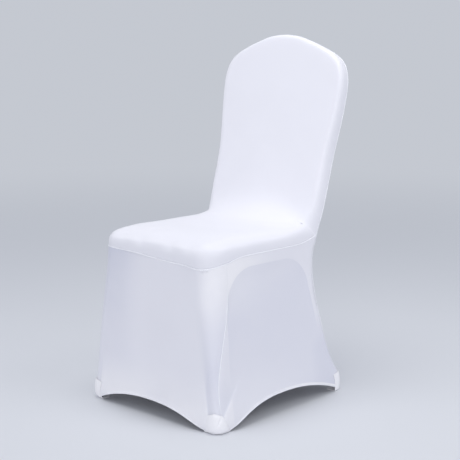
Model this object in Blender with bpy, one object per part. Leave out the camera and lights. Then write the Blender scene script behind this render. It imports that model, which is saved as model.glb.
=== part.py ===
"""Fitted spandex cover for a banquet chair with a crown back, in the shape it takes on the chair.

It is cut and sewn from nine pieces of knit: one piece that runs up the seat and the inside of
the back, an outside back, a front skirt that wraps the front legs, two side skirts, and four
foot pockets. The cover is hollow.

Metres. X runs across the chair, the sitter faces -Y, and Z is up. The origin is on the floor
under the middle of the cover.
"""

import math
from functools import lru_cache

import bmesh
import bpy
import numpy as np
from mathutils.bvhtree import BVHTree

COLLECTION = "spandex_chair_cover"


def table(columns, rows):
    """A short table with named columns, each column an array."""
    return dict(zip(columns.split(), np.array(rows, float).T, strict=True))


def read(rows, column, place):
    """One column of a table, read smoothly at a place in the table's first column."""
    knots = next(iter(rows.values()))
    values = rows[column]
    rises = np.diff(values) / np.diff(knots)
    before, after = rises[:-1], rises[1:]
    level = before * after <= 0
    inner = 2 * before * after / np.where(level, 1, before + after)
    slopes = np.concatenate((rises[:1], np.where(level, 0, inner), rises[-1:]))
    place = np.clip(place, knots[0], knots[-1])
    low = np.clip(np.searchsorted(knots, place) - 1, 0, len(knots) - 2)
    step = knots[low + 1] - knots[low]
    t = (place - knots[low]) / step
    start = values[low] + slopes[low] * step * t
    end = values[low + 1] - slopes[low + 1] * step * (1 - t)
    ease = t * t * (3 - 2 * t)
    return start * (1 - ease) + end * ease


# The knit, and how close its pieces lie
CLOTH = 0.0012
HALF_GAP = 0.00016  # a piece stops this far short of each seam line
LAYER_GAP = 0.0017  # between a pocket and the skirt inside it
HEM_LIFT = 0.0022  # the skirt's lowest edge clears the sole of a pocket
SET_BACK = 0.0015  # the finished pieces move back this far, so the origin is under their middle

# The skirt over a front leg and a back leg, from the floor up to the seat seam
FRONT_LEG = table(
    "height half_width face radius",
    (
        (0.000, 0.223, -0.256, 0.020),
        (0.016, 0.232, -0.265, 0.023),
        (0.050, 0.227, -0.263, 0.020),
        (0.120, 0.219, -0.262, 0.022),
        (0.216, 0.212, -0.261, 0.032),
        (0.304, 0.205, -0.260, 0.042),
        (0.370, 0.199, -0.259, 0.050),
        (0.435, 0.195, -0.259, 0.053),
    ),
)
BACK_LEG = table(
    "height half_width face radius",
    (
        (0.000, 0.205, 0.240, 0.020),
        (0.027, 0.206, 0.242, 0.020),
        (0.089, 0.201, 0.212, 0.020),
        (0.148, 0.197, 0.190, 0.020),
        (0.231, 0.193, 0.166, 0.024),
        (0.294, 0.191, 0.150, 0.028),
        (0.344, 0.190, 0.146, 0.030),
        (0.394, 0.190, 0.150, 0.028),
        (0.417, 0.191, 0.157, 0.024),
        (0.445, 0.192, 0.158, 0.020),
    ),
)

# Seams of the skirt: how far past the middle of the corner the leg seam runs, and how much of
# the back corner's arc lies before the back seam
LEG_SEAM = table(
    "height past_corner",
    (
        (0.000, 0.010),
        (0.040, 0.013),
        (0.090, 0.009),
        (0.210, 0.029),
        (0.330, 0.050),
        (0.435, 0.049),
    ),
)
BACK_SEAM = table(
    "height share_of_arc",
    ((0.000, 0.5), (0.200, 0.5), (0.390, 0.5), (0.440, 0.25)),
)

# The seat seam, by the run round the seat from the middle of its front
SEAT_SEAM = table(
    "run height",
    (
        (-0.570, 0.429),
        (-0.530, 0.418),
        (-0.470, 0.414),
        (-0.300, 0.412),
        (-0.225, 0.410),
        (-0.085, 0.408),
        (0.000, 0.402),
        (0.074, 0.398),
        (0.125, 0.397),
        (0.160, 0.391),
        (0.182, 0.393),
        (0.225, 0.401),
        (0.250, 0.404),
        (0.272, 0.411),
        (0.300, 0.413),
        (0.470, 0.414),
        (0.530, 0.418),
        (0.570, 0.429),
    ),
)
SEAT_LEVEL = 0.410  # where the first guess of the seam's height starts

# Hem arches. Each end has the place where the hem comes down to the floor and how steeply it
# comes down there: 2 is a parabola, and more is flatter at the peak and steeper at the end
HEM_ARCHES = {
    "front": {"start": (-0.213, 2.4), "peak": -0.0155, "end": (0.182, 2.4), "rise": 0.039},
    "right": {"start": (-0.210, 2.6), "peak": 0, "end": (0.238, 2), "rise": 0.050},
    "left": {"start": (-0.232, 2), "peak": 0, "end": (0.230, 2), "rise": 0.050},
    "back": {"start": (-0.190, 2), "peak": 0, "end": (0.190, 2), "rise": 0.045},
}
HEM_EASE = 0.0015  # how softly an arch comes down

# The chair's tube frame shows through the side skirts as an arch, and the knit lies a little
# further in below it
ARCH_TOP = 0.387
ARCH_RADIUS = 0.100
ARCH_FRONT = -0.205
ARCH_BEHIND_LEG = 0.030
ARCH_INSET = 0.0030
ARCH_EDGE = 0.012
ARCH_FOOT = 0.050  # the inset fades out from here down
ARCH_FADE = 0.080

# The seat and the inside of the back
SEAT_TOP = 0.459
SEAT_FRONT = -0.259
SEAT_ROLL = 0.030
SEAT_DOME = 0.006
RIM_DROP = 0.017  # how far the cushion's rim lies below its top, and how far in it starts to fall
FRONT_DROP = 0.024  # the same for its front edge
RIM_REACH = 0.065
RIM_FADE = 0.100  # the rim loses its shape over this length before the back
BACK_FOOT = 0.139  # middle of the back's thickness where it meets the seat top
BACK_LEAN = 0.334
BACK_BOW = 0.218
BACK_THICKNESS = 0.035
BACK_ROLL = 0.016
BACK_DOME = 0.004
BACK_SLOPE = 0.965  # height gained for each metre along the back
CROWN_DROP = 0.013  # the back seam lies this much inside the crown's front outline
SIDE_DROP = 0.002
CROWN_START = 0.16  # along the back, where the drop starts to grow, and over what length
CROWN_LENGTH = 0.40
ROLL_EASE = 0.06  # the length over which the seat's rolled edge becomes the back's
REAR_START = 0.425  # where the outside back leaves the legs' line for the back's own
REAR_EASE = 0.06
CROTCH_REACH_EDGE = 0.020  # how far from the crotch the knit starts to bridge it
CROTCH_REACH_MIDDLE = 0.085
WALL_BULGE = 0.003
SEAT_PULL = 0.78  # how squarely the rolled edge of the seat, and then of the back, fills its corner
BACK_PULL = 0.62

# The crown back's outline, seen from the front, from the seat up to the middle of the crown
BACK_OUTLINE = table(
    "half_width height",
    (
        (0.1930, 0.459),
        (0.1940, 0.530),
        (0.1940, 0.610),
        (0.1980, 0.662),
        (0.2035, 0.700),
        (0.2085, 0.746),
        (0.2130, 0.790),
        (0.2140, 0.824),
        (0.2070, 0.857),
        (0.1900, 0.886),
        (0.1620, 0.906),
        (0.1270, 0.921),
        (0.0830, 0.937),
        (0.0430, 0.948),
        (0.0000, 0.952),
    ),
)
SHOULDER_HEIGHT = 0.868  # the outline's corner, for laying out the mesh

# How finely each piece is divided
FRONT_STEPS = 10
CORNER_STEPS = 6
SIDE_STEPS = (2, 12, 3)
SIDE_LEAD = 0.012  # the first stretch past the leg seam and the last before the back arc
BACK_STEPS = 11
ROLL_STEPS = 4
SKIRT_ROWS = (0, 0.04, 0.08, 0.14, 0.22, 0.32, 0.44, 0.56, 0.68, 0.78, 0.855, 0.9, 0.935)
HEM_ROWS = (0.965, 0.985, 1)
ARC_POINTS = 24
OUTLINE_POINTS = 400
BRIDGE_POINTS = 15
RELAX_ROUNDS = 200
SEAM_ROUNDS = 4
HEM_ROUNDS = 2
STAND_OFF_ROUNDS = 3
NUDGE = 0.002  # how far apart two places lie when a slope is measured
SHARP_ANGLE = math.radians(50)

REAR_RADIUS = 0.020  # the back corner, whose seam runs in its middle
REAR_ROLL_STEPS = 3
HEM_RISE = 0.25  # how far the rings round the outside back climb at its hem, as a share
WELD = 0.00001

# Foot pockets: a doubled wedge round the corner of the hem, with a sole under the foot. Its
# spans are how far it reaches each way along the skirt, at the floor and at its top, and its
# shift is how far the top's middle lies past the corner's, towards the back of the chair
POCKET_HEIGHT = 0.053
POCKET_POINT = 0.006
POCKET_ROWS = (0.07, 0.20, 0.36, 0.55, 0.77, 1)
POCKET_STEPS = 14
SOLE_DEPTH = 0.024
SOLE_LEVEL = 0.001
SOLE_ROWS = (0, 0.35, 0.7, 1)
POCKETS = (
    {"leg": "front", "side": "right", "foot_span": 0.040, "top_span": 0.016, "shift": -0.006},
    {"leg": "front", "side": "left", "foot_span": 0.026, "top_span": 0.032, "shift": 0},
    {"leg": "back", "side": "right", "foot_span": 0.026, "top_span": 0.032, "shift": 0},
    {"leg": "back", "side": "left", "foot_span": 0.026, "top_span": 0.032, "shift": 0},
)

KNIT_COLOUR = (0.83, 0.84, 0.89, 1)
POCKET_COLOUR = (0.88, 0.88, 0.92, 1)
KNIT_ROUGHNESS = 0.6


def hem_height(arch, place):
    """Height of a hem arch over a place along it."""
    end, power = arch["start"] if place < arch["peak"] else arch["end"]
    share = (place - arch["peak"]) / (end - arch["peak"])
    bow = arch["rise"] * (1 - share**power)
    return HEM_LIFT + (bow + math.hypot(bow, 2 * HEM_EASE)) / 2


@lru_cache(maxsize=None)
def plan(height):
    """Half of the skirt's outline at a height, from the front's middle round +X to the back's.

    Returns the running length, the points, and the runs at the ends of the two corner arcs.
    """
    front, back = (
        {name: float(read(leg, name, height)) for name in leg} for leg in (FRONT_LEG, BACK_LEG)
    )
    path = [
        (0, front["face"], 0),
        (front["half_width"], front["face"], front["radius"]),
        (back["half_width"], back["face"], back["radius"]),
        (0, back["face"], 0),
    ]
    points = [np.array(path[0][:2])]
    marks = []
    for before, corner, after in zip(path, path[1:], path[2:]):
        here = np.array(corner[:2])
        into = here - before[:2]
        out = np.array(after[:2]) - here
        turn_in = math.atan2(into[1], into[0])
        turn = math.atan2(out[1], out[0]) - turn_in
        along = np.array((math.cos(turn_in), math.sin(turn_in)))
        inward = np.array((-along[1], along[0]))
        centre = here - along * corner[2] * math.tan(turn / 2) + inward * corner[2]
        marks.append(len(points))
        for angle in turn_in - math.pi / 2 + turn * np.linspace(0, 1, ARC_POINTS):
            points.append(centre + corner[2] * np.array((math.cos(angle), math.sin(angle))))
        marks.append(len(points) - 1)
    points.append(np.array(path[-1][:2]))
    points = np.array(points)
    runs = np.concatenate(([0], np.cumsum(np.linalg.norm(np.diff(points, axis=0), axis=1))))
    return runs, points, runs[marks]


def skirt_point(run, height):
    """The point of the skirt at a run from the front's middle, negative to the left."""
    runs, points, _ = plan(round(float(height), 6))
    x = np.interp(abs(run), runs, points[:, 0])
    y = np.interp(abs(run), runs, points[:, 1])
    return np.array((math.copysign(x, run), y, height))


def leg_seam_run(height):
    arcs = plan(round(float(height), 6))[2]
    return (arcs[0] + arcs[1]) / 2 + read(LEG_SEAM, "past_corner", height)


def back_seam_run(height):
    arcs = plan(round(float(height), 6))[2]
    return arcs[2] + (arcs[3] - arcs[2]) * read(BACK_SEAM, "share_of_arc", height)


def steps_between(stops, counts):
    """Values from stop to stop, each stretch cut into its own number of equal steps."""
    pieces = [
        np.linspace(start, end, count + 1)[:-1]
        for start, end, count in zip(stops, stops[1:], counts)
    ]
    return np.concatenate([*pieces, [stops[-1]]])


def front_runs(height):
    """Runs of the front skirt's columns, from the left leg seam to the right one."""
    straight = plan(round(float(height), 6))[2][0]
    leg = leg_seam_run(height)
    counts = (CORNER_STEPS, FRONT_STEPS, CORNER_STEPS)
    return steps_between((-leg, -straight, straight, leg), counts)


def side_runs(height):
    """Runs of the right side skirt's columns, from the leg seam to the back seam."""
    arcs = plan(round(float(height), 6))[2]
    leg = leg_seam_run(height)
    stops = (leg, max(arcs[1], leg) + SIDE_LEAD, arcs[2], back_seam_run(height))
    return steps_between(stops, SIDE_STEPS)


def seam_height(run_at, sign=1):
    """The seat seam's height on one column, whose run itself changes a little with height."""
    height = SEAT_LEVEL
    for _ in range(SEAM_ROUNDS):
        height = float(read(SEAT_SEAM, "height", sign * run_at(height)))
    return height


def arch_inset(y, height):
    """How far the knit lies in from the frame, inside the arch of the tube frame."""
    rear = read(BACK_LEG, "face", height) - ARCH_BEHIND_LEG
    aside = min(y - ARCH_FRONT, rear - y)
    below = ARCH_TOP - height
    if aside < ARCH_RADIUS and below < ARCH_RADIUS:
        depth = ARCH_RADIUS - math.hypot(ARCH_RADIUS - aside, ARCH_RADIUS - below)
    else:
        depth = min(aside, below)
    edge = np.clip(depth / ARCH_EDGE, 0, 1)
    fade = np.clip((height - ARCH_FOOT) / ARCH_FADE, 0, 1)
    return ARCH_INSET * edge * edge * (3 - 2 * edge) * fade


def front_skirt_points():
    columns = len(front_runs(SEAT_LEVEL))
    tops = [seam_height(lambda z, j=j: front_runs(z)[j]) for j in range(columns)]
    grid = []
    for share in SKIRT_ROWS + HEM_ROWS:
        row = []
        for j, top in enumerate(tops):
            height = top
            for _ in range(HEM_ROUNDS):
                x = skirt_point(front_runs(height)[j], height)[0]
                height = top + (hem_height(HEM_ARCHES["front"], x) - top) * share
            row.append(skirt_point(front_runs(height)[j], height))
        grid.append(row)
    return np.array(grid)


def side_skirt_points(side):
    """Grid of a side skirt, from the leg seam back, in rows from the seat seam down."""
    sign = 1 if side == "right" else -1
    columns = sum(SIDE_STEPS) + 1
    tops = [seam_height(lambda z, j=j: side_runs(z)[j], sign) for j in range(columns)]
    grid = []
    for share in SKIRT_ROWS + HEM_ROWS:
        row = []
        for j, top in enumerate(tops):
            height = top
            for _ in range(HEM_ROUNDS):
                y = skirt_point(side_runs(height)[j], height)[1]
                height = top + (hem_height(HEM_ARCHES[side], y) - top) * share
            point = skirt_point(side_runs(height)[j], height)
            point[0] -= arch_inset(point[1], height)
            point[0] *= sign
            row.append(point)
        grid.append(row)
    return np.array(grid)


def back_middle(height):
    """Y of the middle of the back's thickness."""
    rise = height - SEAT_TOP
    return BACK_FOOT + BACK_LEAN * rise - BACK_BOW * rise * rise


def profile(run):
    """The seat top and then the front of the back, as (y, z) by the run from the seat's front."""
    crotch = back_middle(SEAT_TOP) - BACK_THICKNESS / 2 - SEAT_FRONT
    height = SEAT_TOP + np.maximum(run - crotch, 0) * BACK_SLOPE
    y = np.where(
        run < crotch,
        SEAT_FRONT + run,
        back_middle(height) - BACK_THICKNESS / 2,
    )
    return np.stack((y, height), axis=-1)


CROTCH_RUN = BACK_FOOT - BACK_THICKNESS / 2 - SEAT_FRONT


def rim_fall(distance):
    """The share of the rim's drop at a distance in from it."""
    return max(1 - distance / RIM_REACH, 0) ** 2


def upper_point(x, run, depth=0.0):
    """A point of the seat and inside back, or of what lies a depth behind it."""
    half_width = BACK_OUTLINE["half_width"][0]
    across = 1 - min(abs(x) / half_width, 1) ** 2
    reach = CROTCH_REACH_EDGE + (CROTCH_REACH_MIDDLE - CROTCH_REACH_EDGE) * across
    offsets = np.linspace(-reach, reach, BRIDGE_POINTS)
    y, z = profile(run + offsets).mean(axis=0)
    ahead, behind = (profile(run + offsets + end).mean(axis=0) for end in (NUDGE, -NUDGE))
    along = (ahead - behind) / np.linalg.norm(ahead - behind)
    outward = np.array((-along[1], along[0]))
    on_back = np.clip((run - CROTCH_RUN) / CROTCH_REACH_MIDDLE + 0.5, 0, 1)
    front, aside = rim_fall(run), rim_fall(half_width - abs(x))
    ahead_of_back = min(max((CROTCH_RUN - run) / RIM_FADE, 0), 1)
    drop = (FRONT_DROP * front + RIM_DROP * aside * (1 - front)) * ahead_of_back
    on_seat = SEAT_DOME * across - drop
    rise = on_seat * (1 - on_back) + BACK_DOME * across * on_back
    y, z = np.array((y, z)) + outward * (rise - depth)
    return np.array((x, y, z))


def back_edge():
    """The back's outline as (x, run) pairs from the crotch to the crown's middle, evenly run."""
    points = np.stack((BACK_OUTLINE["half_width"], BACK_OUTLINE["height"]), axis=1)
    lengths = np.concatenate(([0], np.cumsum(np.linalg.norm(np.diff(points, axis=0), axis=1))))
    outline = {"length": lengths, "x": points[:, 0], "height": points[:, 1]}
    fine = np.linspace(0, lengths[-1], OUTLINE_POINTS)
    heights = read(outline, "height", fine)
    shoulder = fine[np.argmax(heights > SHOULDER_HEIGHT)]
    half_front = FRONT_STEPS // 2 + CORNER_STEPS // 2
    at = steps_between((0, shoulder, lengths[-1]), (BACK_STEPS, half_front))
    runs = CROTCH_RUN + (read(outline, "height", at) - SEAT_TOP) / BACK_SLOPE
    return np.stack((read(outline, "x", at), runs), axis=1)


def upper_loop(front, right, left):
    """The closed outline of the seat and inside back, from the three skirts' top rows.

    Gives each station's (x, run) and its seam point, or None on the back, whose seam is found
    later. It starts in the middle of the left front corner and runs to the right.
    """
    half_corner = CORNER_STEPS // 2
    leg_y = front[0][1]
    ease = (CROTCH_RUN - (leg_y - SEAT_FRONT)) / (right[-1][1] - leg_y)

    def seat_station(point):
        """Past the leg seam the run is eased, so that the seam's end meets the crotch."""
        past = max(point[1] - leg_y, 0)
        return point[0], point[1] - SEAT_FRONT - past + past * ease

    edge = back_edge()[1:]
    seams = [*front[half_corner:], *right[1:]]
    stations = [seat_station(point) for point in seams]
    stations += [(x, run) for x, run in edge] + [(-x, run) for x, run in edge[-2::-1]]
    seams += [None] * (2 * len(edge) - 1)
    rest = [*left[:0:-1], *front[:half_corner]]
    return np.array(stations + [seat_station(point) for point in rest]), seams + rest


def inward_ways(loop):
    """The direction into a closed flat loop at each of its stations."""
    along = np.roll(loop, -1, axis=0) - np.roll(loop, 1, axis=0)
    along /= np.linalg.norm(along, axis=1)[:, None]
    return np.stack((-along[:, 1], along[:, 0]), axis=1)


def inset(loop, distance):
    """A closed loop of (x, run) moved inward by a distance, which may vary along it."""
    return loop + inward_ways(loop) * np.reshape(distance, (-1, 1))


def filled(loop, across, up, rounds):
    """A grid inside a closed loop, whose first corner is the loop's first station.

    Each round of relaxing makes it more even.
    """
    bottom = loop[: across + 1]
    right = loop[across : across + up + 1]
    top = loop[across + up : 2 * across + up + 1][::-1]
    left = np.vstack((loop[2 * across + up :], loop[:1]))[::-1]
    u = np.linspace(0, 1, across + 1)[None, :, None]
    v = np.linspace(0, 1, up + 1)[:, None, None]
    grid = (
        (1 - v) * bottom[None]
        + v * top[None]
        + (1 - u) * left[:, None]
        + u * right[:, None]
        - (1 - u) * (1 - v) * bottom[0]
        - u * (1 - v) * bottom[-1]
        - (1 - u) * v * top[0]
        - u * v * top[-1]
    )
    for _ in range(rounds):
        grid[1:-1, 1:-1] = (
            grid[:-2, 1:-1] + grid[2:, 1:-1] + grid[1:-1, :-2] + grid[1:-1, 2:]
        ) / 4
    return grid


def around(grid):
    """The border of a grid as a closed loop, in the order that filled() takes it."""
    return np.concatenate((grid[0, :-1], grid[:-1, -1], grid[-1, :0:-1], grid[:0:-1, 0]))


def upper_rings(loop, seams):
    """Rings from the seam over the rolled edge to the top, and the seam itself."""
    on_seat = np.array([seam is not None for seam in seams])
    up_back = loop[:, 1] - CROTCH_RUN
    crown = np.clip((up_back - CROWN_START) / CROWN_LENGTH, 0, 1)
    drop = SIDE_DROP + (CROWN_DROP - SIDE_DROP) * crown
    ease = np.clip(up_back / ROLL_EASE, 0, 1)
    roll = np.where(on_seat, SEAT_ROLL, SEAT_ROLL + (BACK_ROLL - SEAT_ROLL) * ease)
    pull = BACK_PULL + (SEAT_PULL - BACK_PULL) * np.clip(-up_back / RIM_FADE, 0, 1)
    corner_at = inset(loop, -WALL_BULGE)
    edge_at = inset(loop, roll)
    seam_at = inset(loop, drop)
    rings = []
    for i, seam in enumerate(seams):
        if seam is None:
            seam = upper_point(*seam_at[i], depth=BACK_THICKNESS)
        corner = upper_point(*corner_at[i])
        edge = upper_point(*edge_at[i])
        handles = seam + (corner - seam) * pull[i], edge + (corner - edge) * pull[i]
        t = np.linspace(0, 1, ROLL_STEPS + 1)[:, None]
        rings.append(
            (1 - t) ** 3 * seam
            + 3 * t * (1 - t) ** 2 * handles[0]
            + 3 * t * t * (1 - t) * handles[1]
            + t**3 * edge
        )
    return np.array(rings).transpose(1, 0, 2), edge_at


def rear_face(height):
    """Y of the outside back, from the floor to the crown."""
    low = read(BACK_LEG, "face", height)
    high = back_middle(height) + BACK_THICKNESS / 2
    share = np.clip((height - REAR_START) / REAR_EASE, 0, 1)
    return low + (high - low) * share * share * (3 - 2 * share)


def outside_back_points(right_seam, left_seam, crown):
    """Rings and an inner grid for the outside back, from its border's points.

    The seams run up from the hem, and the crown from the right shoulder to the left.
    """
    x = np.linspace(left_seam[0][0], right_seam[0][0], len(crown))
    hem = [hem_height(HEM_ARCHES["back"], place) for place in x]
    bottom = np.stack((x, rear_face(np.array(hem)), hem), axis=1)
    bottom[0], bottom[-1] = left_seam[0], right_seam[0]
    border = np.concatenate((bottom[:-1], right_seam[:-1], crown[:-1], left_seam[:0:-1]))
    flat = border[:, (0, 2)]
    ways = inward_ways(flat)
    ways[: len(crown)] = (0, HEM_RISE)
    ways[0], ways[len(crown) - 1] = (1, HEM_RISE), (-1, HEM_RISE)
    rings = []
    middle = math.sin(math.pi / 4)
    for turn in np.linspace(math.pi / 4, math.pi / 2, REAR_ROLL_STEPS + 1):
        ring = flat + ways * REAR_RADIUS * (middle - math.cos(turn))
        share = (math.sin(turn) - middle) / (1 - middle)
        y = border[:, 1] + (rear_face(ring[:, 1]) - border[:, 1]) * share
        rings.append(np.stack((ring[:, 0], y, ring[:, 1]), axis=1))
    inner = filled(rings[-1][:, (0, 2)], len(crown) - 1, len(right_seam) - 1, 0)
    inner = np.stack((inner[..., 0], rear_face(inner[..., 1]), inner[..., 1]), axis=-1)
    return np.array(rings), inner


def skirt_outward(run, height):
    """The skirt's outward direction, from its slopes round and up."""
    around_it = skirt_point(run + NUDGE, height) - skirt_point(run - NUDGE, height)
    low = max(height - NUDGE, 0)
    up_it = skirt_point(run, height + NUDGE) - skirt_point(run, low)
    outward = np.cross(around_it, up_it)
    return outward / np.linalg.norm(outward)


def pocket_points(foot, skin):
    """Grid of a pocket: its sole from the inner edge out, then up the corner.

    It is laid out on the right, where the skin is the skirt, mirrored for a left foot.
    """
    shares = np.linspace(-1, 1, POCKET_STEPS + 1)
    first_arc = 0 if foot["leg"] == "front" else 2

    def run_at(share, height):
        arcs = plan(round(float(height), 6))[2]
        middle = (arcs[first_arc] + arcs[first_arc + 1]) / 2
        up = height / POCKET_HEIGHT
        span = foot["foot_span"] + (foot["top_span"] - foot["foot_span"]) * up
        return middle + foot["shift"] * up + share * span

    level = np.array((1, 1, 0))
    outward = [skirt_outward(run_at(share, SOLE_LEVEL), SOLE_LEVEL) * level for share in shares]
    sole = np.array([skirt_point(run_at(share, 0), 0) for share in shares])
    ends = [sole[k] - outward[k] * SOLE_DEPTH for k in (0, -1)]
    along = ((shares + 1) / 2)[:, None]
    inner_edge = ends[0] * (1 - along) + ends[1] * along
    sole += np.array(outward) * (CLOTH / 2 + LAYER_GAP)
    rows = [inner_edge + (sole - inner_edge) * part for part in SOLE_ROWS]
    for part in POCKET_ROWS:
        heights = part * (POCKET_HEIGHT - POCKET_POINT * np.abs(shares))
        wall = [skirt_point(run_at(*place), place[1]) for place in zip(shares, heights)]
        rows.append(stood_off(wall, skin))
    return np.array(rows)


def stood_off(points, skin):
    """Points moved out until a layer of knit fits between them and the skin they lie on."""
    for _ in range(STAND_OFF_ROUNDS):
        moved = []
        for point in points:
            place, outward, _, _ = skin.find_nearest(point)
            short = CLOTH + LAYER_GAP - np.dot(point - np.array(place), outward)
            moved.append(point + np.array(outward) * max(short, 0))
        points = moved
    return np.array(points)


def grid_faces(rows, columns):
    index = np.arange(rows * columns).reshape(rows, columns)
    corners = (index[:-1, :-1], index[:-1, 1:], index[1:, 1:], index[1:, :-1])
    return np.stack(corners, axis=-1).reshape(-1, 4)


def sheet_of(grid):
    rows, columns = grid.shape[:2]
    return {"points": grid.reshape(-1, 3), "faces": grid_faces(rows, columns)}


def ringed_sheet_of(rings, grid, flip=False):
    """A sheet whose rings lie round a grid; the last ring is the grid's own border."""
    rows, columns = grid.shape[:2]
    index = np.arange(rows * columns).reshape(rows, columns)
    loops = [around(index)]
    points = [grid.reshape(-1, 3)]
    faces = [grid_faces(rows, columns)]
    count = rows * columns
    for ring in rings[-2::-1]:
        loop = count + np.arange(len(ring))
        count += len(ring)
        points.append(ring)
        inner = loops[-1]
        quads = (loop, np.roll(loop, -1), np.roll(inner, -1), inner)
        faces.append(np.stack(quads, axis=-1))
        loops.append(loop)
    faces = np.concatenate(faces)
    if flip:
        faces = faces[:, ::-1]
    return {"points": np.concatenate(points), "faces": faces}


def joined_faces(sheets):
    """All the sheets' faces, numbered as if their points were one list."""
    start, faces = 0, []
    for sheet in sheets:
        faces.append(sheet["faces"] + start)
        start += len(sheet["points"])
    return np.concatenate(faces)


def outward_at(sheets):
    """Each sheet's outward directions, shared where sheets meet, so that their edges match."""
    points = np.concatenate([sheet["points"] for sheet in sheets])
    starts = np.cumsum([0] + [len(sheet["points"]) for sheet in sheets])
    faces = joined_faces(sheets)
    _, place = np.unique(np.round(points / WELD), axis=0, return_inverse=True)
    place = place.reshape(-1)
    a, b, c, d = (points[faces[:, k]] for k in range(4))
    normals = np.cross(c - a, d - b)
    sums = np.zeros((place.max() + 1, 3))
    for k in range(4):
        np.add.at(sums, place[faces[:, k]], normals)
    outward = sums[place]
    outward /= np.linalg.norm(outward, axis=1)[:, None]
    return [outward[start:end] for start, end in zip(starts, starts[1:])]


def border_edges(faces):
    """The edges that only one face uses, in that face's direction."""
    edges = np.concatenate([faces[:, (k, (k + 1) % 4)] for k in range(4)])
    _, index, counts = np.unique(
        np.sort(edges, axis=1), axis=0, return_index=True, return_counts=True
    )
    return edges[index[counts == 1]]


def make_piece(name, sheet, outward, colour):
    """One closed piece of knit from a sheet: its face, its inner side and its cut edges."""
    points, faces = sheet["points"].copy(), sheet["faces"]
    edges = border_edges(faces)
    on_border = np.zeros(len(points), bool)
    on_border[edges] = True
    middles = np.zeros_like(points)
    uses = np.zeros(len(points))
    for k in range(4):
        for other in range(1, 4):
            here, there = faces[:, k], faces[:, (k + other) % 4]
            use = on_border[here] & ~on_border[there]
            np.add.at(middles, here[use], points[there[use]])
            np.add.at(uses, here[use], 1)
    moved = on_border & (uses > 0)
    way = middles[moved] / uses[moved, None] - points[moved]
    points[moved] += way / np.linalg.norm(way, axis=1)[:, None] * HALF_GAP
    count = len(points)
    mesh = bmesh.new()
    both = np.concatenate((points, points - outward * CLOTH)) + (0, SET_BACK, 0)
    verts = [mesh.verts.new(point) for point in both]
    rim = np.stack((edges[:, 1], edges[:, 0], edges[:, 0] + count, edges[:, 1] + count), axis=-1)
    for quad in np.concatenate((faces, faces[:, ::-1] + count, rim)):
        mesh.faces.new([verts[k] for k in quad])
    data = bpy.data.meshes.new(name)
    mesh.to_mesh(data)
    mesh.free()
    data.shade_smooth()
    data.set_sharp_from_angle(angle=SHARP_ANGLE)
    data.materials.append(knit(name, colour))
    piece = bpy.data.objects.new(name, data)
    collection.objects.link(piece)
    return piece


def knit(name, colour):
    material = bpy.data.materials.new(name + "_knit")
    material.use_nodes = True
    shader = material.node_tree.nodes["Principled BSDF"]
    shader.inputs["Base Color"].default_value = colour
    shader.inputs["Roughness"].default_value = KNIT_ROUGHNESS
    shader.inputs["Metallic"].default_value = 0
    material.diffuse_color = colour
    return material


for old in list(bpy.data.objects):
    bpy.data.objects.remove(old)
collection = bpy.data.collections.new(COLLECTION)
bpy.context.scene.collection.children.link(collection)

front = front_skirt_points()
right = side_skirt_points("right")
left = side_skirt_points("left")
right[:, 0], left[:, 0] = front[:, -1], front[:, 0]

loop, seams = upper_loop(front[0], right[0], left[0])
rings, edge = upper_rings(loop, seams)
across = FRONT_STEPS + CORNER_STEPS
up = len(loop) // 2 - across
inner = filled(edge, across, up, RELAX_ROUNDS)
inner = np.array([[upper_point(*place) for place in row] for row in inner])

seam = rings[0]
shoulder = across + up
crown = seam[shoulder : shoulder + across + 1]
left_shoulder = shoulder + across
right_seam = np.concatenate((right[::-1, -1], seam[shoulder - BACK_STEPS + 1 : shoulder + 1]))
left_up = seam[left_shoulder : left_shoulder + BACK_STEPS][::-1]
left_seam = np.concatenate((left[::-1, -1], left_up))
rear_rings, rear_inner = outside_back_points(right_seam, left_seam, crown)

sheets = {
    "inside_back_and_seat": ringed_sheet_of(rings, inner),
    "outside_back": ringed_sheet_of(rear_rings, rear_inner, flip=True),
    "front_skirt": sheet_of(front[::-1]),
    "right_side_skirt": sheet_of(right[::-1]),
    "left_side_skirt": sheet_of(left[::-1, ::-1]),
}
for (name, sheet), outward in zip(sheets.items(), outward_at(sheets.values()), strict=True):
    make_piece(name, sheet, outward, KNIT_COLOUR)

points = np.concatenate([sheet["points"] for sheet in sheets.values()])
faces = joined_faces(sheets.values())
mirror = np.array((-1, 1, 1))
skins = {
    "right": BVHTree.FromPolygons(points.tolist(), faces.tolist()),
    "left": BVHTree.FromPolygons((points * mirror).tolist(), faces[:, ::-1].tolist()),
}
for foot in POCKETS:
    grid = pocket_points(foot, skins[foot["side"]])
    if foot["side"] == "left":
        grid = grid[:, ::-1] * mirror
    sheet = sheet_of(grid)
    name = foot["leg"] + "_" + foot["side"] + "_foot_pocket"
    make_piece(name, sheet, outward_at([sheet])[0], POCKET_COLOUR)
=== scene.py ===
"""Looks of a fitted stretch-knit cover for a crown-back banquet chair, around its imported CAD."""

import math

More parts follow.
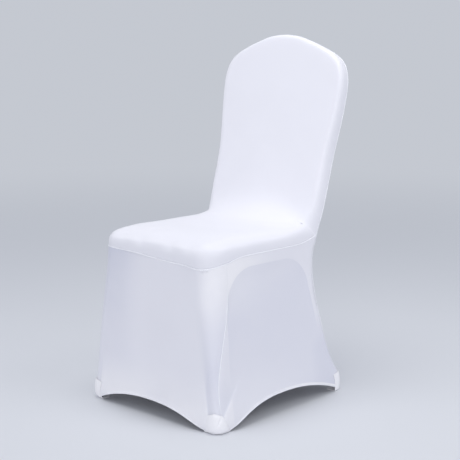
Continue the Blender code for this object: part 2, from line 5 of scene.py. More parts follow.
import bmesh
import bpy
import numpy as np
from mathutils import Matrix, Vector


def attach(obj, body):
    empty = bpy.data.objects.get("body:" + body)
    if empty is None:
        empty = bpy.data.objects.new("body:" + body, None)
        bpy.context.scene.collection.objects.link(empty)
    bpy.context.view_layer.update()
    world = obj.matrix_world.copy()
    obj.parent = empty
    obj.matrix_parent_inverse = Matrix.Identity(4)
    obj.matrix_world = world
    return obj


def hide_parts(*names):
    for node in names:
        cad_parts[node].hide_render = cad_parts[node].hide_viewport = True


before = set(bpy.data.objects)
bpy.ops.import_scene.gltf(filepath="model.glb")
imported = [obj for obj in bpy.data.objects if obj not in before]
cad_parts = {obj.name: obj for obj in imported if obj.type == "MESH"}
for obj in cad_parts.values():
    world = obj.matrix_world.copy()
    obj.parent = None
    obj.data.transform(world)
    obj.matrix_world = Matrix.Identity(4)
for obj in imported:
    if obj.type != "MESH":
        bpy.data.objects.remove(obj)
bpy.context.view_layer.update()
scene = bpy.context.scene
scene.view_settings.view_transform = "Standard"

# The camera stands off the front right corner, a little under one metre up, and looks slightly
# down.
LENS = 87.64  # millimetres, as is SENSOR
SENSOR = 36
CAMERA_PLACE = (1.9971, -2.0833, 0.9069)
LOOKS_DOWN = 0.16045  # radians below level
TURNED = 0.75891  # radians from straight ahead

view = bpy.data.cameras.new("camera")
view.lens = LENS
view.sensor_width = SENSOR
camera = bpy.data.objects.new("camera", view)
camera.location = CAMERA_PLACE
camera.rotation_euler = (math.pi / 2 - LOOKS_DOWN, 0, TURNED)
scene.collection.objects.link(camera)
scene.camera = camera

# Inside back and seat: one long piece of satin knit, pulled down the inside of the back and over
# the seat cushion. It is cut from a polyester and elastane jersey, and every other piece is sewn
# to its border with an overlocked seam.
THICKNESS = 0.0012
BACK_FOOT_HEIGHT = 0.475
BACK_START = 0.1405  # where the middle line of the back starts, behind the middle of the seat
BACK_START_HEIGHT = 0.459
BACK_LEAN = 0.334
BACK_BEND = 0.218  # how much less it leans further up
BACK_NARROWED = 0.85
INSIDE_CROWN = 0.92
INSIDE_SEAT = 0.40
BETWEEN_LEGS = ((-0.14, 0.14), (-0.19, 0.10))
ABOVE_HEMS = 0.1


def inside_of(point):
    """A point inside the cover near one on its surface, to tell its face from its wrong side."""
    x, y, z = point
    if z > BACK_FOOT_HEIGHT:
        rise = z - BACK_START_HEIGHT
        middle = BACK_START + BACK_LEAN * rise - BACK_BEND * rise * rise
        return Vector((BACK_NARROWED * x, middle, min(z, INSIDE_CROWN)))
    if z > INSIDE_SEAT:
        return Vector((x / 2, y / 2, INSIDE_SEAT))
    (left, right), (ahead, behind) = BETWEEN_LEGS
    return Vector((min(max(x, left), right), min(max(y, ahead), behind), max(z, ABOVE_HEMS)))


def only(piece):
    """Selects one piece and nothing else."""
    bpy.ops.object.select_all(action="DESELECT")
    piece.select_set(True)
    bpy.context.view_layer.objects.active = piece


def outer_face(node, levels):
    """The right side of one CAD piece, on its own and divided finely, as a new object."""
    mesh = bmesh.new()
    mesh.from_mesh(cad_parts[node].data)
    bmesh.ops.remove_doubles(mesh, verts=mesh.verts, dist=0.00002)
    mesh.normal_update()
    wrong_side = []
    for corner in mesh.verts:
        way = sum((f.normal * f.calc_area() for f in corner.link_faces), Vector())
        if way.dot(corner.co - inside_of(corner.co)) < 0:
            wrong_side.append(corner)
    bmesh.ops.delete(mesh, geom=wrong_side, context="VERTS")
    bmesh.ops.join_triangles(
        mesh,
        faces=mesh.faces,
        angle_face_threshold=math.radians(60),
        angle_shape_threshold=math.radians(70),
        topology_influence=1.0,
    )
    data = bpy.data.meshes.new(node + "_knit")
    mesh.to_mesh(data)
    mesh.free()
    piece = bpy.data.objects.new(node + "_knit", data)
    scene.collection.objects.link(piece)
    only(piece)
    divide = piece.modifiers.new("divide", "SUBSURF")
    divide.levels = levels
    divide.render_levels = levels
    divide.boundary_smooth = "PRESERVE_CORNERS"
    bpy.ops.object.modifier_apply(modifier="divide")
    return piece


def points_of(piece):
    """The places and the normals of all points of a piece."""
    points = np.empty(len(piece.data.vertices) * 3)
    piece.data.vertices.foreach_get("co", points)
    normals = np.empty_like(points)
    piece.data.vertices.foreach_get("normal", normals)
    return points.reshape(-1, 3), normals.reshape(-1, 3)


def move_out(piece, distance):
    """Moves each point of a face along its normal."""
    points, normals = points_of(piece)
    points += normals * np.reshape(distance, (-1, 1))
    piece.data.vertices.foreach_set("co", points.ravel())
    piece.data.update()


def smooth(value, low, high):
    """Goes softly from 0 at one value to 1 at another."""
    t = np.clip((value - low) / (high - low), 0, 1)
    return t * t * (3 - 2 * t)


def bump(value, middle, width):
    """1 at the middle, and softly down to 0 on both sides."""
    return np.exp(-(((value - middle) / width) ** 2))


def border_line(piece, wanted):
    """Points and normals along the part of a face's border whose edges are wanted, in order."""
    points, normals = points_of(piece)
    mesh = bmesh.new()
    mesh.from_mesh(piece.data)
    follows = {}
    for edge in mesh.edges:
        if edge.is_boundary:
            a, b = (v.index for v in edge.verts)
            if wanted((points[a] + points[b]) / 2, points[b] - points[a]):
                follows.setdefault(a, []).append(b)
                follows.setdefault(b, []).append(a)
    mesh.free()
    ends = sorted(k for k, others in follows.items() if len(others) == 1)
    here = ends[0] if ends else min(follows)
    order = [here]
    before = None
    while True:
        ahead = [k for k in follows[here] if k != before]
        if not ahead or ahead[0] == order[0]:
            break
        before, here = here, ahead[0]
        order.append(here)
    if not ends:
        order.append(order[0])
    return points[order], normals[order]


STITCH = 0.0028  # length of one overlock stitch
STEPS_PER_STITCH = 3
SEAM_SIDES = 8
STITCH_SWELL = 0.10  # by how much of itself each stitch swells the seam
HAND_SWELL = 0.12  # and the uneven feed of the knit, in two long waves
HAND_WAVES = (37, 91)


def overlock(name, line, width, height, pucker=None):
    """A sewn seam: the ridge that two overlocked edges and their stitches raise in the knit."""
    points, normals = line
    lengths = np.concatenate(([0], np.cumsum(np.linalg.norm(np.diff(points, axis=0), axis=1))))
    steps = int(lengths[-1] / (STITCH / STEPS_PER_STITCH))
    at = np.linspace(0, lengths[-1], steps + 1)
    centre = np.stack([np.interp(at, lengths, points[:, k]) for k in range(3)], axis=1)
    out = np.stack([np.interp(at, lengths, normals[:, k]) for k in range(3)], axis=1)
    out /= np.linalg.norm(out, axis=1)[:, None]
    ahead = np.gradient(centre, axis=0)
    ahead /= np.linalg.norm(ahead, axis=1)[:, None]
    aside = np.cross(ahead, out)
    pull = 1 + STITCH_SWELL * np.sin(2 * math.pi * at / STITCH)
    pull = pull + HAND_SWELL * np.sin(at * HAND_WAVES[0]) * np.sin(at * HAND_WAVES[1])
    if pucker is not None:
        pull = pull + pucker(centre)
    turns = np.linspace(0, 2 * math.pi, SEAM_SIDES, endpoint=False)
    rings = (
        centre[:, None]
        + aside[:, None] * (width / 2 * np.cos(turns))[None, :, None] * pull[:, None, None]
        + out[:, None] * (height * np.sin(turns))[None, :, None] * pull[:, None, None]
    )
    count, sides = rings.shape[:2]
    index = np.arange(count * sides).reshape(count, sides)
    around = np.roll(index, -1, axis=1)
    quads = np.stack((index[:-1], index[1:], around[1:], around[:-1]), axis=-1).reshape(-1, 4)
    faces = quads.tolist() + [index[0].tolist(), index[-1, ::-1].tolist()]
    data = bpy.data.meshes.new(name)
    data.from_pydata(rings.reshape(-1, 3).tolist(), [], faces)
    seam = bpy.data.objects.new(name, data)
    scene.collection.objects.link(seam)
    mesh = bmesh.new()
    mesh.from_mesh(data)
    bmesh.ops.recalc_face_normals(mesh, faces=mesh.faces)
    mesh.to_mesh(data)
    mesh.free()
    data.shade_smooth()
    data.materials.append(thread)
    return seam


class Value:
    """A shader value that Python's own signs work on."""

    def __init__(self, tree, socket):
        self.tree = tree
        self.socket = socket

    def node(self, kind, settings=(), **values):
        """Adds any node: its settings first, then the values or links of its sockets."""
        made = self.tree.nodes.new(kind)
        for name, setting in dict(settings).items():
            setattr(made, name, setting)
        for name, value in values.items():
            socket = made.inputs[int(name[1:])] if name[1:].isdigit() else made.inputs[name]
            if isinstance(value, Value):
                self.tree.links.new(value.socket, socket)
            else:
                socket.default_value = value
        return made

    def maths(self, operation, *others):
        values = {f"_{k}": value for k, value in enumerate((self, *others))}
        made = self.node("ShaderNodeMath", {"operation": operation}, **values)
        return Value(self.tree, made.outputs[0])

    def flipped(self, operation, other):
        made = self.node("ShaderNodeMath", {"operation": operation}, _0=other, _1=self)
        return Value(self.tree, made.outputs[0])

    def __add__(self, other):
        return self.maths("ADD", other)

    def __sub__(self, other):
        return self.maths("SUBTRACT", other)

    def __mul__(self, other):
        return self.maths("MULTIPLY", other)

    def __truediv__(self, other):
        return self.maths("DIVIDE", other)

    def __rsub__(self, other):
        return self.flipped("SUBTRACT", other)

    __radd__ = __add__
    __rmul__ = __mul__

    def least(self, other):
        return self.maths("MINIMUM", other)

    def most(self, other):
        return self.maths("MAXIMUM", other)

    def ramp(self, low, high):
        """0 below one value and 1 above another."""
        made = self.node(
            "ShaderNodeMapRange",
            {"interpolation_type": "SMOOTHSTEP", "clamp": True},
            _0=self,
            _1=low,
            _2=high,
        )
        return Value(self.tree, made.outputs[0])

    def mix(self, first, second):
        """One colour where this value is 0 and another where it is 1."""
        made = self.node("ShaderNodeMix", {"data_type": "RGBA"}, _0=self, _6=first, _7=second)
        return Value(self.tree, made.outputs[2])


KNIT_WHITE = (0.850, 0.842, 0.895, 1)
KNIT_SHEER_AND_SHADE = (0.605, 0.620, 0.733, 1)  # where nothing behind it shows white through it; also painted shade
# Two layers of knit are whiter; on the skirts this white is also a painted highlight.
DOUBLED_AND_HIGHLIGHT_WHITE = (0.945, 0.932, 0.955, 1)
DULLER = 0.965  # how much of the tone is left where the satin is duller
DULL_PATCHES = 0.45
DULL_GRAIN = 0.10
PATCHES_PER_METRE = 7.0
GRAINS_PER_METRE = 420.0
ROUGHNESS = 0.46
WALE = 0.0011  # from one column of stitches to the next
COURSE = 0.0008  # from one row to the next
ROW_SLANT = 0.7
STITCH_RELIEF = 0.00002
GRAIN_RELIEF = 0.00003
FOLDED_EDGE = 0.001  # half of the width over which a hem's white fades


def knit(name, white, across, sheer_and_shade=None, painted_highlight=None, hemmed=False):
    """Satin jersey: columns of fine stitches, a soft sheen, and a tone that follows the stretch
    and also holds painted shade and painted highlight.

    across is the axis that the columns are counted along. sheer_and_shade gives, from the
    position, how much the knit is greyed, partly where it is stretched over nothing and partly
    as painted shade, and painted_highlight how much painted highlight whitens it. A folded hem
    is two layers, so it is whiter.
    """
    material = bpy.data.materials.new(name)
    material.use_nodes = True
    tree = material.node_tree
    shader = tree.nodes["Principled BSDF"]
    shader.inputs["Specular IOR Level"].default_value = 0.35
    shader.inputs["Sheen Weight"].default_value = 0.25
    shader.inputs["Sheen Roughness"].default_value = 0.45
    place = Value(tree, tree.nodes.new("ShaderNodeTexCoord").outputs["Object"])
    split = place.node("ShaderNodeSeparateXYZ", _0=place)
    x, y, z = (Value(tree, split.outputs[k]) for k in range(3))
    columns = (x if across == "x" else y) * (2 * math.pi / WALE)
    rows = (z + (y if across == "x" else x) * ROW_SLANT) * (2 * math.pi / COURSE)
    stitches = columns.maths("SINE") * 0.6 + (rows + columns * 0.5).maths("SINE") * 0.4
    patches = place.node(
        "ShaderNodeTexNoise", Vector=place, Scale=PATCHES_PER_METRE, Detail=3.0, Roughness=0.5
    )
    patches = Value(tree, patches.outputs[0])
    grain = place.node("ShaderNodeTexNoise", Vector=place, Scale=GRAINS_PER_METRE, Detail=2.0)
    grain = Value(tree, grain.outputs[0])
    colour = white
    # Painted highlight whitens the knit, and painted shade, partly its sheerness, greys it.
    if painted_highlight is not None:
        colour = painted_highlight(x, y, z).mix(colour, DOUBLED_AND_HIGHLIGHT_WHITE)
    if sheer_and_shade is not None:
        colour = sheer_and_shade(x, y, z).mix(colour, KNIT_SHEER_AND_SHADE)
    if hemmed:
        above = place.node("ShaderNodeAttribute", {"attribute_name": "above_hem"})
        above = Value(tree, above.outputs["Fac"])
        single = above.ramp(HEM_BAND - FOLDED_EDGE, HEM_BAND + FOLDED_EDGE)
        colour = (1 - single).mix(colour, DOUBLED_AND_HIGHLIGHT_WHITE)
    duller = tuple(DULLER * c for c in white[:3]) + (1,)
    colour = (patches.ramp(0.35, 0.75) * DULL_PATCHES + grain * DULL_GRAIN).mix(colour, duller)
    tree.links.new(colour.socket, shader.inputs["Base Color"])
    roughness = ROUGHNESS + patches * 0.10 + grain * 0.06
    tree.links.new(roughness.socket, shader.inputs["Roughness"])
    relief = stitches * STITCH_RELIEF + grain * GRAIN_RELIEF
    normal = place.node("ShaderNodeBump", Strength=0.35, Distance=1.0, Height=relief)
    tree.links.new(normal.outputs[0], shader.inputs["Normal"])
    return material


def make_cloth(piece, material, seams, node):
    """Gives a face its thickness and its seams, and says what it is and what it replaces."""
    only(piece)
    wall = piece.modifiers.new("wall", "SOLIDIFY")
    wall.thickness = THICKNESS
    wall.offset = -1
    bpy.ops.object.modifier_apply(modifier="wall")
    piece.data.shade_smooth()
    for seam in seams:
        seam.select_set(True)
    piece.data.materials.clear()
    piece.data.materials.append(material)
    if seams:
        bpy.ops.object.join()
    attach(piece, "root")
    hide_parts(node)


# The thread is whiter than the knit: partly its own colour, partly a painted highlight that keeps
# the seams bright where they shade themselves.
THREAD_AND_HIGHLIGHT_WHITE = (0.93, 0.93, 0.97, 1)
TWISTS_PER_METRE = 600.0
thread = bpy.data.materials.new("overlock_thread")
thread.use_nodes = True
sewn = thread.node_tree.nodes["Principled BSDF"]
sewn.inputs["Sheen Weight"].default_value = 0.3
sewn_place = thread.node_tree.nodes.new("ShaderNodeTexCoord").outputs["Object"]
sewn_place = Value(thread.node_tree, sewn_place)
twist = sewn_place.node(
    "ShaderNodeTexNoise", Vector=sewn_place, Scale=TWISTS_PER_METRE, Detail=2.0
)
twist = Value(thread.node_tree, twist.outputs[0])
sewn_colour = (twist * 0.3).mix(THREAD_AND_HIGHLIGHT_WHITE, KNIT_WHITE)
thread.node_tree.links.new(sewn_colour.socket, sewn.inputs["Base Color"])
thread.node_tree.links.new((twist * 0.2 + 0.5).socket, sewn.inputs["Roughness"])

EDGE_CRISP = 0.0026  # how far the cushion's rim pushes the knit out where it turns down
EDGE_SLOPE = 0.0050  # how far the top slopes down to the front rim
SLACK = 0.0010  # how far the knit rises and falls over the cushion's padding
# Each dent has a place along its edge, a width and a depth.
FRONT_DENTS = (
    (-0.045, 0.020, 0.0034),
    (0.058, 0.018, 0.0032),
    (0.120, 0.016, 0.0026),
    (-0.110, 0.018, 0.0014),
)
SIDE_DENTS = ((-0.03, 0.05, 0.0018), (-0.14, 0.03, 0.0012))
# Each edge has a middle and a width, across it and up.
FRONT_EDGE = ((-0.250, 0.014), (0.437, 0.012))
SIDE_EDGE = ((0.183, 0.016), (0.445, 0.018))
# Puckers lie round the seam's front right corner, which also has a middle and a width each way.
PUCKERED_CORNER = ((0.173, 0.012), (-0.248, 0.014))
PUCKER = 0.9
PUCKERS_PER_METRE = 900
SEAT_SEAM = (0.0026, 0.0011)  # the width and height of the seam round the seat and back


def dented(along, dents):
    """How far a row of dents sinks an edge."""
    return -sum(depth * bump(along, place, width) for place, width, depth in dents)


seat = outer_face("inside_back_and_seat", 2)
spots, ways = points_of(seat)
sx, sy, sz = spots.T
on_seat = smooth(BACK_FOOT_HEIGHT - sz, 0, 0.02)
front_edge = bump(sy, *FRONT_EDGE[0]) * bump(sz, *FRONT_EDGE[1])
side_edge = bump(abs(sx), *SIDE_EDGE[0]) * bump(sz, *SIDE_EDGE[1]) * on_seat
dents = front_edge * dented(sx, FRONT_DENTS) + side_edge * dented(sy, SIDE_DENTS)
waves = SLACK * np.sin(sx * 31 + sy * 11) * np.sin(sy * 23 + 1.3) * on_seat
upward = ways[:, 2]
# 1 where the knit faces half up and half out, and 0 where it is level or upright
turning = np.clip(2 * upward * np.sqrt(np.clip(1 - upward**2, 0, 1)), 0, 1) ** 2
corner = smooth(abs(sx), 0.115, 0.170) * smooth(-sy, 0.18, 0.235)
crisp = EDGE_CRISP * turning * on_seat * smooth(0.13 - sy, 0, 0.05) * (1 - 0.9 * corner)
slope = -EDGE_SLOPE * smooth(-sy, 0.15, 0.235) * smooth(upward, 0.50, 0.85) * (1 - corner)
move_out(seat, dents + waves + crisp + slope)


def corner_pucker(centre):
    """Stitches bunch up where the seam turns the front right corner."""
    across, ahead = PUCKERED_CORNER
    near = bump(centre[:, 0], *across) * bump(centre[:, 1], *ahead)
    return near * PUCKER * np.abs(np.sin(centre[:, 0] * PUCKERS_PER_METRE))


whole = border_line(seat, lambda middle, step: True)
seat_seam = overlock("seat_seam", whole, *SEAT_SEAM, corner_pucker)
seat_knit = knit("satin_jersey_seat", KNIT_WHITE, "x")
make_cloth(seat, seat_knit, [seat_seam], "inside_back_and_seat")

# Outside back: the tall piece down the back of the chair, from the crown to the back legs. It is
# the same knit, and its hem is folded up twice and stitched.
HEM_BAND = 0.006  # how high the folded part of a hem is
HEM_STITCHES = 0.001  # how far they lie below its top, and how wide the dip is that they make
HEM_RAISED = 0.0006
HEM_DIP = 0.0004
HEM_EDGE = (0.0030, 0.0015)  # the width and height of the rolled edge at the bottom of a hem
HEMS_BELOW = 0.075
LEVEL_ENOUGH = 0.8  # the steepest that a hem runs, as rise over length
STEEP_ENOUGH = 0.6  # the least that a leg's seam does
SEAT_BOTTOM = 0.44
SEAM_WIDTH = 0.0024  # the seams down the legs
BACK_SEAM_HEIGHT = 0.0010
REAR_SLACK = 0.0012


def hem_distance(piece):
    """How far each point lies above the hem, and a number attribute that keeps it."""
    points, _ = points_of(piece)
    line, _ = border_line(piece, is_hem)
    line = line[np.argsort(line[:, hem_axis(piece)])]
    along = points[:, hem_axis(piece)]
    height = np.interp(along, line[:, hem_axis(piece)], line[:, 2])
    above = points[:, 2] - height
    kept = piece.data.attributes.new("above_hem", "FLOAT", "POINT")
    kept.data.foreach_set("value", above.astype(np.float32))
    return above


def hem_axis(piece):
    """The axis that a piece's hem runs along."""
    return 1 if "side" in piece.name else 0


def is_hem(middle, step):
    """Whether a stretch of border is low down and nearly level."""
    return middle[2] < HEMS_BELOW and abs(step[2]) < LEVEL_ENOUGH * np.linalg.norm(step)


def is_leg_seam(middle, step):
    """Whether a stretch of border runs up a leg."""
    if middle[2] >= SEAT_BOTTOM or is_hem(middle, step):
        return False
    return abs(step[2]) > STEEP_ENOUGH * np.linalg.norm(step)


def raised_hem(above):
    """A hem folded to the inside stands a little proud, with a dip where it is stitched."""
    raised = HEM_RAISED * (1 - smooth(above, HEM_BAND, HEM_BAND + 0.0025))
    return raised - HEM_DIP * bump(above, HEM_BAND - HEM_STITCHES, HEM_STITCHES)


def leg_seams(piece, name, height, ridge=None):
    """The seams that run up the legs at the left and right of a piece."""
    seams = []
    for way in (-1, 1):
        line = border_line(piece, lambda m, s, way=way: is_leg_seam(m, s) and m[0] * way > 0.1)
        seams.append(overlock(name, line, SEAM_WIDTH, height, ridge))
    return seams


rear = outer_face("outside_back", 2)
above = hem_distance(rear)
rx, _, rz = points_of(rear)[0].T
low_back = smooth(0.40 - rz, 0, 0.15)
waves = REAR_SLACK * np.sin(rx * 24 + 0.7) * np.sin(rz * 17) * (0.4 + 0.6 * low_back)
move_out(rear, raised_hem(above) + waves)
rear_seams = leg_seams(rear, "back_corner_seam", BACK_SEAM_HEIGHT)
rear_seams.append(overlock("back_hem_edge", border_line(rear, is_hem), *HEM_EDGE))
rear_knit = knit("satin_jersey_back", KNIT_WHITE, "x", hemmed=True)
make_cloth(rear, rear_knit, rear_seams, "outside_back")

# Front skirt: a short wide piece that wraps both front legs. Its sides are sewn to the side
# skirts behind the corners, and its hem is arched so that it pulls tight between the feet.
FRONT_FOLD = {"top": (0.181, 0.128), "foot": (0.198, 0.032)}  # places and heights of its ends
FOLD_TOP = 0.19
FOLD_EDGE = (-0.001, 0.004)  # how sharply the tone changes across a fold
FOLD_DEPTH = 0.0015
FOLD_LIP = 0.0007
HOLLOW_TOP = 0.34
# The grey where the knit hangs free at a foot is partly its sheerness and partly painted shade;
# the same share sets the painted shade at a side skirt's rear corner.
UNBACKED_AND_SHADED = 0.45  # how much greyer the knit is where it hangs free at a foot
LEFT_SHARE = 0.7  # how strong the left foot's fold is beside the right one's
# Painted shade greys the front to the left leg in steps: from a height, to a height, and how much.
LEFT_LEG_SHADE_STEPS = ((0.05, 0.16, 0.26), (0.16, 0.30, 0.21), (0.28, 0.41, 0.53))
FOOT_HEIGHTS = (0.02, 0.16)  # over which the painted light at the feet fades
LEG_HEIGHTS = (0.24, 0.36)  # over which the painted highlight on the leg's top begins
# how strong the painted light low down at the feet is
FOOT_PAINTED_LIGHT = 0.9
PULLS = ((-0.09, 0.03, 0.0016), (-0.02, 0.05, -0.0014))  # where, how wide, and how far out
TUCKS = ((0.1685, 0.387), (0.1765, 0.389))  # tiny tucks under the seat's front right corner
TUCK_SIZE = (0.003, 0.004)
TUCK_DEPTH = 0.0020
LEG_SEAM_HEIGHT = 0.0009


def fold_place(fold, z):
    """Where a fold lies at a height, on the straight line between its two ends."""
    (top, high), (foot, low) = fold["top"], fold["foot"]
    return (z - low) * ((top - foot) / (high - low)) + foot


def front_sheer_and_shade(x, y, z):
    """The knit hangs free between the leg and the fold that pulls up from each foot, and is greyer
    there, partly from its sheerness and partly as painted shade.

    It is also greyer towards the left leg, and more so the higher up it is: that is painted shade.
    """
    blur = z.ramp(0.08, FOLD_TOP) * 7 + 1
    right = ((x - fold_place(FRONT_FOLD, z)) / blur).ramp(*FOLD_EDGE)
    left = ((x * -1 - fold_place(FRONT_FOLD, z)) / blur).ramp(*FOLD_EDGE)
    foot = right.most(left * LEFT_SHARE) * (1 - z.ramp(0.14, HOLLOW_TOP)) * UNBACKED_AND_SHADED
    low, middle, high = (z.ramp(start, end) * share for start, end, share in LEFT_LEG_SHADE_STEPS)
    return foot.most((x * -1).ramp(0.02, 0.18) * (low + middle + high))


def front_painted_highlight(x, y, z):
    """Painted highlight, whitest over the top of the front right leg, and painted light at the
    feet.
    """
    leg = x.ramp(0.150, 0.190) * z.ramp(*LEG_HEIGHTS)
    return leg.most((1 - z.ramp(*FOOT_HEIGHTS)) * FOOT_PAINTED_LIGHT)


def fading_ends(centre):
    """A leg seam is pulled flat towards the seat and over the foot, and its ridge fades there."""
    z = centre[:, 2]
    return -0.75 * (1 - smooth(z, 0.05, 0.09) * smooth(0.36 - z, 0, 0.09))


front = outer_face("front_skirt", 3)
above = hem_distance(front)
fx, _, fz = points_of(front)[0].T
outwards, inwards = (far * bump(fx, place, width) for place, width, far in PULLS)
waves = (outwards * smooth(fz, 0.05, 0.20) + inwards) * smooth(0.40 - fz, 0, 0.08)
past = abs(fx) - fold_place(FRONT_FOLD, fz)
share = np.where(fx > 0, 1, LEFT_SHARE)
sunk = FOLD_DEPTH * smooth(past, -0.001, 0.005) * (1 - smooth(fz, 0.06, FOLD_TOP)) * share
lip = FOLD_LIP * bump(past, -0.009, 0.008) * (1 - smooth(fz, 0.05, 0.14)) * share
tucks = sum(bump(fx, x, TUCK_SIZE[0]) * bump(fz, z, TUCK_SIZE[1]) for x, z in TUCKS)
move_out(front, raised_hem(above) + waves - sunk + lip - TUCK_DEPTH * tucks)
front_seams = leg_seams(front, "leg_seam", LEG_SEAM_HEIGHT, fading_ends)
front_seams.append(overlock("front_hem_edge", border_line(front, is_hem), *HEM_EDGE))
front_knit = knit(
    "satin_jersey_front", KNIT_WHITE, "x", front_sheer_and_shade, front_painted_highlight, hemmed=True
)
make_cloth(front, front_knit, front_seams, "front_skirt")

# Side skirts: one on each side, sewn to the front skirt, the seat and the outside back. The
# chair's frame is an arch behind them, so the knit lies flush round the edge and sinks inside it.
ARCH_TOP = 0.387
ARCH_RADIUS = 0.100
ARCH_FRONT = -0.2035
ARCH_REAR = 0.1175
ARCH_REAR_LEAN = 0.30
ARCH_BEND = 0.294  # below this height its rear edge leans back with the leg
ARCH_EDGE = 0.0025  # the width over which the tone changes
SIDE_FOLD = {"top": (-0.1765, 0.105), "foot": (-0.240, 0.038)}


def side_sheer_and_shade(x, y, z):
    """The knit shows greyer where no frame backs it inside the arch; beside each foot that grey is
    partly painted shade, and low down at the rear corner it is painted shade.
    """
    rear = ((ARCH_BEND - z) * ARCH_REAR_LEAN + ARCH_REAR + 0.002).most(ARCH_REAR)
    aside = (y - ARCH_FRONT).least(rear - y)
    short = (ARCH_RADIUS - aside).most(0)
    low = (z - (ARCH_TOP - ARCH_RADIUS)).most(0)
    depth = ARCH_RADIUS - (short * short + low * low).maths("SQRT")
    arch = depth.ramp(0, ARCH_EDGE) * (z.ramp(0.08, 0.30) * 0.075 + 0.25)
    # painted shade on the rear of the side skirt, low down
    behind = y.ramp(0.05, 0.17) * (1 - z.ramp(0.12, 0.26)) * UNBACKED_AND_SHADED
    # beside each foot: partly the knit's sheerness, partly painted shade
    hollow = (fold_place(SIDE_FOLD, z) - y).ramp(*FOLD_EDGE) * (1 - z.ramp(0.06, 0.16))
    return arch.most(hollow * UNBACKED_AND_SHADED).most(behind)


def side_painted_highlight(x, y, z):
    """Painted light: whiter at the front foot, and a painted highlight over the top of the front
    leg.
    """
    foot = (1 - z.ramp(*FOOT_HEIGHTS)) * (1 - y.ramp(-0.12, 0.06)) * FOOT_PAINTED_LIGHT
    return foot.most((1 - y.ramp(-0.18, 0.0)) * z.ramp(*LEG_HEIGHTS))


for hand in ("right", "left"):
    side = outer_face(hand + "_side_skirt", 3)
    above = hem_distance(side)
    _, dy, dz = points_of(side)[0].T
    past = fold_place(SIDE_FOLD, dz) - dy
    sunk = FOLD_DEPTH * smooth(past, -0.001, 0.006) * (1 - smooth(dz, 0.05, 0.16))
    lip = FOLD_LIP * bump(past, -0.011, 0.009) * (1 - smooth(dz, 0.04, 0.12))
    move_out(side, raised_hem(above) - sunk + lip)
    side_seams = [overlock("side_hem_edge", border_line(side, is_hem), *HEM_EDGE)]
    name = "satin_jersey_side_" + hand
    side_knit = knit(name, KNIT_WHITE, "y", side_sheer_and_shade, side_painted_highlight, hemmed=True)
    make_cloth(side, side_knit, side_seams, hand + "_side_skirt")

# Foot pockets: a doubled wedge of knit at the bottom of each leg, with a sole that the foot
# stands on. They hold the hem down and take the wear. Their edges are stitched down to the skirt.
STITCHED_DOWN = 0.0011  # how far a pocket's edge is pulled in
STITCH_REACH = 0.006
SOLE_EDGE = 0.006
ACROSS_CORNER = (0.7255, 0.6882)  # the level way across a front corner, from front to side
CREASE = 0.0016
CREASE_PLACE = -0.0151  # how far that way it lies at CREASE_HEIGHT
CREASE_HEIGHT = 0.018
CREASE_SLANT = 0.39
RUCK = 0.0007  # the small fold beside the crease
# The side and area of each pocket's flat cloth. The front right leg's is wider than the others.
WIDE_POCKET = (0.073, 0.0045)
POCKET = (0.066, 0.0036)


def stitched_edge(piece):
    """1 at the edge that is sewn to the skirt, and 0 from a stitch's reach inside it."""
    points, _ = points_of(piece)
    line, _ = border_line(piece, lambda middle, step: middle[2] > SOLE_EDGE)
    away = np.linalg.norm(points[:, None] - line[None], axis=2).min(axis=1)
    return 1 - smooth(away, 0, STITCH_REACH)


for leg in ("front", "back"):
    for hand in ("right", "left"):
        node = f"{leg}_{hand}_foot_pocket"
        pocket = outer_face(node, 3)
        move_out(pocket, -STITCHED_DOWN * stitched_edge(pocket))
        if leg == "front":
            px, py, pz = points_of(pocket)[0].T
            across = abs(px) * ACROSS_CORNER[0] + py * ACROSS_CORNER[1]
            crease_at = CREASE_PLACE + (pz - CREASE_HEIGHT) * CREASE_SLANT
            crease = -CREASE * bump(across, crease_at, 0.0022) * bump(pz, 0.032, 0.012)
            ruck = RUCK * bump(across, crease_at - 0.006, 0.003) * smooth(pz, 0.02, 0.045)
            move_out(pocket, crease + ruck)
        pocket_knit = knit("doubled_jersey_" + leg + "_" + hand, DOUBLED_AND_HIGHLIGHT_WHITE, "x")
        length, area = WIDE_POCKET if node == "front_right_foot_pocket" else POCKET
        make_cloth(pocket, pocket_knit, [], node)

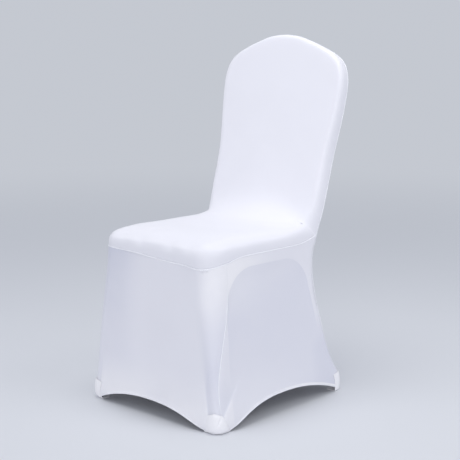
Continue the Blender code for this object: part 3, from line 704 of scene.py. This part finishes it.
# The floor is a plain pale sheet that runs out into the studio's own pale grey. The light is
# soft: one lamp overhead, one high on the right, a wide far one low beside the camera, and the
# grey all round.
STUDIO_GREY = (0.556, 0.582, 0.638, 1)
STUDIO_LIGHT = 1.0
PAPER = (0.74, 0.75, 0.78, 1)
PAPER_SIZE = 160
UNDER_THE_SOLES = 0.0004
RUNS_OUT = (1.2, 6.0)  # how far out the paper starts to turn grey, and how far out it is grey
LIT_PLACE = (0, 0, 0.4)  # where the lamps point
WINDOW_LIGHT = 0.72
WINDOW_WIDTH = 0.46  # the angle that the far light fills, in radians
WINDOW_WAY = (-2.1, 2.9, -0.43)  # the way that its light goes

bpy.ops.mesh.primitive_plane_add(size=PAPER_SIZE, location=(0, 0, -UNDER_THE_SOLES))
floor = bpy.context.active_object
floor.name = "floor"
paper = bpy.data.materials.new("paper")
paper.use_nodes = True
tree = paper.node_tree
near = tree.nodes["Principled BSDF"]
near.inputs["Base Color"].default_value = PAPER
near.inputs["Roughness"].default_value = 0.8
place = Value(tree, tree.nodes.new("ShaderNodeTexCoord").outputs["Object"])
length = place.node("ShaderNodeVectorMath", {"operation": "LENGTH"}, _0=place)
away = Value(tree, length.outputs[1])
far = place.node("ShaderNodeEmission", Color=STUDIO_GREY, Strength=STUDIO_LIGHT)
sheet = place.node("ShaderNodeMixShader", _0=away.ramp(*RUNS_OUT))
tree.links.new(near.outputs[0], sheet.inputs[1])
tree.links.new(far.outputs[0], sheet.inputs[2])
tree.links.new(sheet.outputs[0], tree.nodes["Material Output"].inputs["Surface"])
floor.data.materials.append(paper)

world = bpy.data.worlds.new("studio")
world.use_nodes = True
tree = world.node_tree
tree.nodes["Background"].inputs["Color"].default_value = STUDIO_GREY
tree.nodes["Background"].inputs["Strength"].default_value = STUDIO_LIGHT
scene.world = world


def hang_light(lamp, place, way):
    """Puts a lamp in its place, with its light going one way."""
    light = bpy.data.objects.new(lamp.name, lamp)
    light.location = place
    light.rotation_euler = Vector(way).to_track_quat("-Z", "Y").to_euler()
    scene.collection.objects.link(light)


def soft_light(name, place, size, power):
    """A round lamp with a wide, even front."""
    lamp = bpy.data.lights.new(name, "AREA")
    lamp.shape = "DISK"
    lamp.size = size
    lamp.energy = power
    hang_light(lamp, place, Vector(LIT_PLACE) - Vector(place))


soft_light("overhead", (0.1, -0.3, 2.6), 1.6, 19.4)

window = bpy.data.lights.new("front_low", "SUN")
window.energy = WINDOW_LIGHT
window.angle = WINDOW_WIDTH
hang_light(window, (0, 0, 0), WINDOW_WAY)

soft_light("right_high", (2.0, 0.3, 2.2), 1.4, 9)
